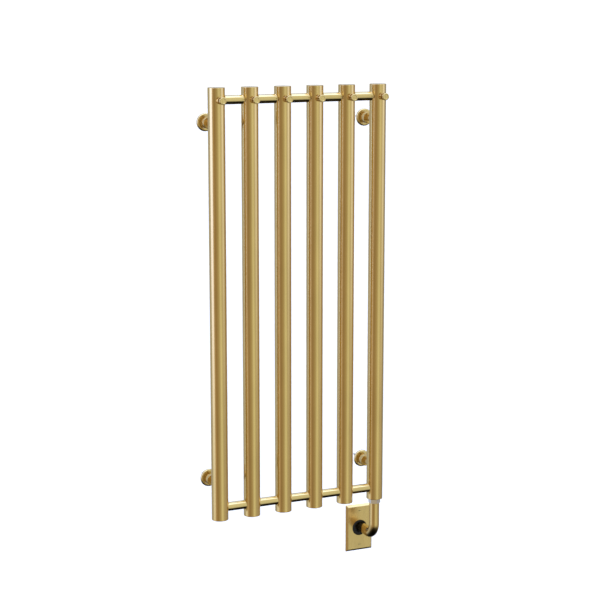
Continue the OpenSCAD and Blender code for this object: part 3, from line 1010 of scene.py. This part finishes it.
class RACK_OT_wall_plate(Operator):
    """Bevelled plate with the hole for the cover, and its two slotted screws"""

    bl_idname = "rack.wall_plate"
    bl_label = "Wall plate"

    def execute(self, context):
        s = context.scene.rack_sizes
        low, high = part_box("wall_plate")
        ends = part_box("plate_screws")
        w, h, t, c = high.x - low.x, high.z - low.z, -low.y, (low + high) / 2
        head = (ends[1].x - ends[0].x) / 2
        reach = (ends[1].z - ends[0].z) / 2 - head
        bm = bmesh.new()
        bmesh.ops.create_grid(bm, x_segments=1, y_segments=1, size=0.5)
        bmesh.ops.scale(bm, vec=(w, h, 1), verts=bm.verts)
        rim = self.lift(bm, bm.faces[:], s.plate_edge, 1, 1)
        bevel = 2 * s.plate_bevel
        self.lift(bm, rim, t - s.plate_edge, (w - bevel) / w, (h - bevel) / h)
        lowest = [f for f in bm.faces if all(abs(v.co.z) < 1e-7 for v in f.verts)]
        bmesh.ops.delete(bm, geom=lowest, context="FACES_ONLY")
        bmesh.ops.recalc_face_normals(bm, faces=bm.faces)
        soften(bm, 0.5 * MM, 3, 20)
        bmesh.ops.solidify(bm, geom=bm.faces[:], thickness=s.plate_sheet)
        bmesh.ops.recalc_face_normals(bm, faces=bm.faces)
        bm = carved(bm, rod(s.plate_hole / 2, -MM, t + MM, 96))
        hole, wide = 1.95 * MM, 3.5 * MM
        for side in (-1, 1):
            sink = turned([
                (0, -MM), (hole, -MM), (hole, t - (wide - hole)), (wide, t), (wide, t + MM), (0, t + MM)
            ], 40)
            bm = carved(bm, moved(sink, Matrix.Translation((0, side * reach, 0))))
        piece(
            "cover_plate", bm, "wall_side", "plate_brass", ["wall_plate"], turn=OUT, place=(c.x, 0, c.z),
            crease=12,
        )
        self.screws(ends[1].y - ends[0].y, head, reach, (c.x, ends[0].y, c.z))
        self.pad(s, head, reach)
        return {"FINISHED"}

    def lift(self, bm, faces, rise, across, upright):
        """Raises the plate's face and draws it in."""
        made = bmesh.ops.extrude_face_region(bm, geom=faces)
        verts = [g for g in made["geom"] if isinstance(g, bmesh.types.BMVert)]
        bmesh.ops.translate(bm, vec=(0, 0, rise), verts=verts)
        bmesh.ops.scale(bm, vec=(across, upright, 1), verts=verts)
        return [g for g in made["geom"] if isinstance(g, bmesh.types.BMFace)]

    def pad(self, s, head, reach):
        """Foam pad behind the plate with its plug in the wall, a slot for the cover and screw holes; the plug
        is painted shade, a near-black block standing for the shaded hollow in the wall.
        """
        low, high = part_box("plate_gasket")
        c, cover = (low + high) / 2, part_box("elbow_cover")
        play, screw_hole, taper = (cover[1].x - cover[0].x) / 2 + 0.5 * MM, 3.25 * MM, 4.5 * MM
        start = (cover[0].x + cover[1].x) / 2 - c.x
        front, back = -low.y, -high.y
        bm = block((high.x - low.x, high.z - low.z, front), (0, 0, front / 2))
        # painted shade: a near-black foam block put in the wall's hollow, which is only in shade
        plug = block((s.shade_plug_width, s.shade_plug_height, front / 2 - back), (0, 0, (front / 2 + back) / 2))
        soften(plug, taper, 1, where=lambda e: any(v.co.z < back + HAIR for v in e.verts))
        bm = carved(bm, plug, "UNION")
        slot = block((s.pad_slot, 2 * play, 4 * high.y), (start - s.pad_slot / 2, 0, 0))
        drills = [
            moved(rod(r, back - MM, front + MM, 72), Matrix.Translation((x, y, 0)))
            for r, x, y in (
                (play, start, 0), (play, start - s.pad_slot, 0),
                (screw_hole, 0, -reach), (screw_hole, 0, reach),
            )
        ]
        for tool in (*drills[:2], slot, *drills[2:]):
            bm = carved(bm, tool)
        piece("foam_pad", bm, "wall_side", "foam", ["plate_gasket"], turn=OUT, place=(c.x, 0, c.z))

    def screws(self, length, head, reach, place):
        """Slotted screws above and below the hole."""
        r = 1.75 * MM
        core, whole = 0.82 * r, bmesh.new()
        for side in (-1, 1):
            bm = turned([
                (0, 0), (head, 0), (core, head - r), (core, length - 0.5 * MM), (0.6 * r, length), (0, length)
            ], 40)
            bm = carved(bm, block((4 * head, 1.4 * MM, 2.4 * MM)))
            ridge = screw_thread(core, r, 0.8 * MM, -length + 0.4 * MM, -3 * MM, 16)
            keep_own(joined(bm, moved(ridge, DOWN)))
            up = Vector(place) + Vector((0, 0, side * reach))
            joined(whole, moved(bm, Matrix.Translation(up) @ INTO_WALL))
        # the screws' finish paints shade into their slots
        piece("slotted_screws", whole, "wall_side", "polished_brass", ["plate_screws"], finish="brass_with_painted_slot_shade")


class RACK_OT_inner_parts(Operator):
    """Finishes for the CAD parts that stay as they are"""

    bl_idname = "rack.inner_parts"
    bl_label = "Inner parts"

    def execute(self, context):
        metals = finishes()
        slots = {p["node"]: p["material_slot"] for p in frame["record"]["subparts"]}
        for name, obj in frame["nodes"].items():
            if not obj.hide_render:
                obj.data.materials.clear()
                obj.data.materials.append(metals[slots[name]])
        return {"FINISHED"}


PIECES = (
    RACK_OT_uprights, RACK_OT_end_discs, RACK_OT_short_bars, RACK_OT_pegs, RACK_OT_stand_offs,
    RACK_OT_element, RACK_OT_cover, RACK_OT_wall_plate, RACK_OT_inner_parts,
)


class RACK_PT_panel(Panel):
    """Lists the rack's pieces and settings"""

    bl_idname = "RACK_PT_panel"
    bl_label = "Towel Warmer Rack"
    bl_space_type = "VIEW_3D"
    bl_region_type = "UI"
    bl_category = "Rack"

    def draw(self, context):
        layout = self.layout
        layout.operator(RACK_OT_stage.bl_idname)
        for operator in PIECES:
            layout.operator(operator.bl_idname)
        for group in (context.scene.rack_sizes, context.scene.rack_finish, context.scene.rack_stage):
            box = layout.box()
            for key in group.__annotations__:
                box.prop(group, key)


GROUPS = (("rack_sizes", RackSizes), ("rack_finish", RackFinish), ("rack_stage", RackStage))


def register():
    for name, group in GROUPS:
        bpy.utils.register_class(group)
        setattr(bpy.types.Scene, name, PointerProperty(type=group))
    for cls in (RACK_OT_stage, *PIECES, RACK_PT_panel):
        bpy.utils.register_class(cls)


def unregister():
    for cls in (RACK_PT_panel, *reversed(PIECES), RACK_OT_stage):
        bpy.utils.unregister_class(cls)
    for name, group in reversed(GROUPS):
        delattr(bpy.types.Scene, name)
        bpy.utils.unregister_class(group)


def main():
    register()
    bpy.ops.rack.stage()
    bpy.ops.rack.uprights()
    bpy.ops.rack.end_discs()
    bpy.ops.rack.short_bars()
    bpy.ops.rack.pegs()
    bpy.ops.rack.stand_offs()
    bpy.ops.rack.element()
    bpy.ops.rack.cover()
    bpy.ops.rack.wall_plate()
    bpy.ops.rack.inner_parts()


if __name__ == "__main__":
    main()
